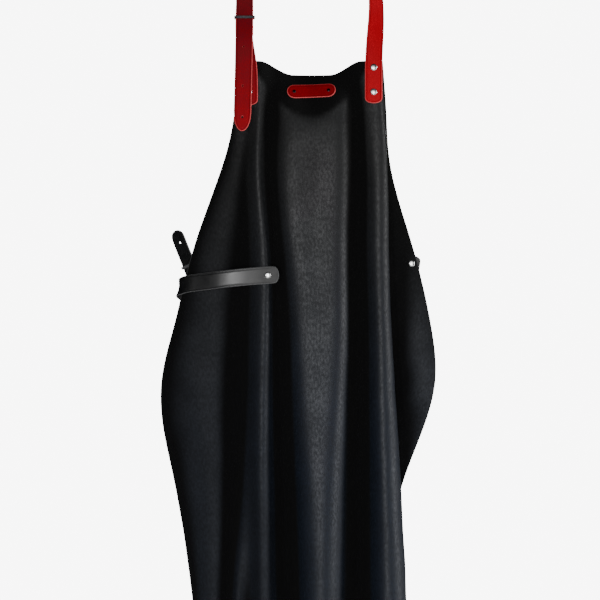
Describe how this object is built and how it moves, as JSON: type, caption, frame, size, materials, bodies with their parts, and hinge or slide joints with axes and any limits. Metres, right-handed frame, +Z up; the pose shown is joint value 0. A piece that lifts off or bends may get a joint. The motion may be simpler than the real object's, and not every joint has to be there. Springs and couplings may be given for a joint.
{
  "type": "apron on a wall hook",
  "caption": "Black leather work apron with red neck straps, buckles and a waist strap, hanging in folds from a steel wall hook.",
  "frame": {"origin": "centre of the back face of the hook's wall plate, where it bears on the wall", "axes": "+Z up, +Y into the wall (the wall is the plane y = 0), the apron's front faces -Y, +X to the right seen from the front"},
  "size_m": [0.3983, 0.1158, 1.3251],
  "materials": {
    "hide": "satin black leather",
    "red_leather": "smooth red strap leather",
    "black_leather": "smooth black strap leather",
    "nickel": "polished nickel",
    "dark_metal": "gunmetal",
    "hook_steel": "satin steel"
  },
  "bodies": {
    "hook": {"hook_plate": "hook_steel", "hook_arm": "hook_steel", "wall_screw_upper": "hook_steel", "wall_screw_lower": "hook_steel"},
    "strap_loop": {"neck_strap_saddle": "red_leather"},
    "apron": {"apron_panel": "hide", "neck_strap_right": "red_leather", "neck_strap_left": "red_leather", "neck_buckle_strap": "red_leather", "neck_buckle_frame": "nickel", "neck_fold_rivet": "nickel", "neck_rivet_left_1": "nickel", "neck_rivet_left_2": "nickel", "neck_rivet_right_1": "nickel", "neck_rivet_right_2": "nickel", "label_patch": "red_leather", "label_rivet_left": "dark_metal", "label_rivet_right": "dark_metal", "waist_strap_front": "black_leather", "waist_rivet": "nickel", "waist_buckle_frame": "dark_metal", "waist_fold_rivet": "dark_metal", "waist_billet_end": "black_leather", "waist_billet_tab": "black_leather", "waist_billet_rivet": "nickel"},
    "neck_tail": {"neck_strap_tail": "red_leather"},
    "neck_loop": {"neck_keeper": "dark_metal"},
    "neck_tongue": {"neck_buckle_tongue": "nickel"},
    "waist_end": {"waist_tail": "black_leather"},
    "waist_loop": {"waist_keeper": "black_leather"},
    "waist_tongue": {"waist_buckle_tongue": "dark_metal"},
    "billet": {"waist_billet": "black_leather"}
  },
  "joints": [
    {"name": "strap_lift", "type": "slide", "parent": "hook", "child": "strap_loop", "axis": [0, 0, 1], "range_m": [0, 0.05]},
    {"name": "apron_swing", "type": "hinge", "parent": "strap_loop", "child": "apron", "pos_m": [0, -0.077, -0.015], "axis": [0, 1, 0], "range_deg": [-12, 12]},
    {"name": "neck_tail_swing", "type": "hinge", "parent": "apron", "child": "neck_tail", "pos_m": [-0.0847, -0.0918, -0.3585], "axis": [-1, 0, 0], "range_deg": [0, 80]},
    {"name": "neck_keeper_slide", "type": "slide", "parent": "apron", "child": "neck_loop", "axis": [0, 0, 1], "range_m": [0, 0.012]},
    {"name": "neck_tongue_turn", "type": "hinge", "parent": "apron", "child": "neck_tongue", "pos_m": [-0.085, -0.087, -0.3], "axis": [1, 0, 0], "range_deg": [0, 5]},
    {"name": "waist_tail_flex", "type": "hinge", "parent": "apron", "child": "waist_end", "pos_m": [-0.12789, -0.029, -0.77455], "axis": [-0.788, 0, -0.6157], "range_deg": [0, 25], "stiffness_Nm_per_rad": 0.05},
    {"name": "waist_keeper_slide", "type": "slide", "parent": "waist_end", "child": "waist_loop", "axis": [-0.3697, 0, 0.9292], "range_m": [0, 0.012]},
    {"name": "waist_tongue_turn", "type": "hinge", "parent": "apron", "child": "waist_tongue", "pos_m": [-0.108, -0.036, -0.8], "axis": [0.788, 0, 0.6157], "range_deg": [0, 5]},
    {"name": "waist_billet_swing", "type": "hinge", "parent": "apron", "child": "billet", "pos_m": [0.03535, -0.04694, -0.7803], "axis": [0.9097, -0.057, 0.4113], "range_deg": [0, 10]}
  ]
}
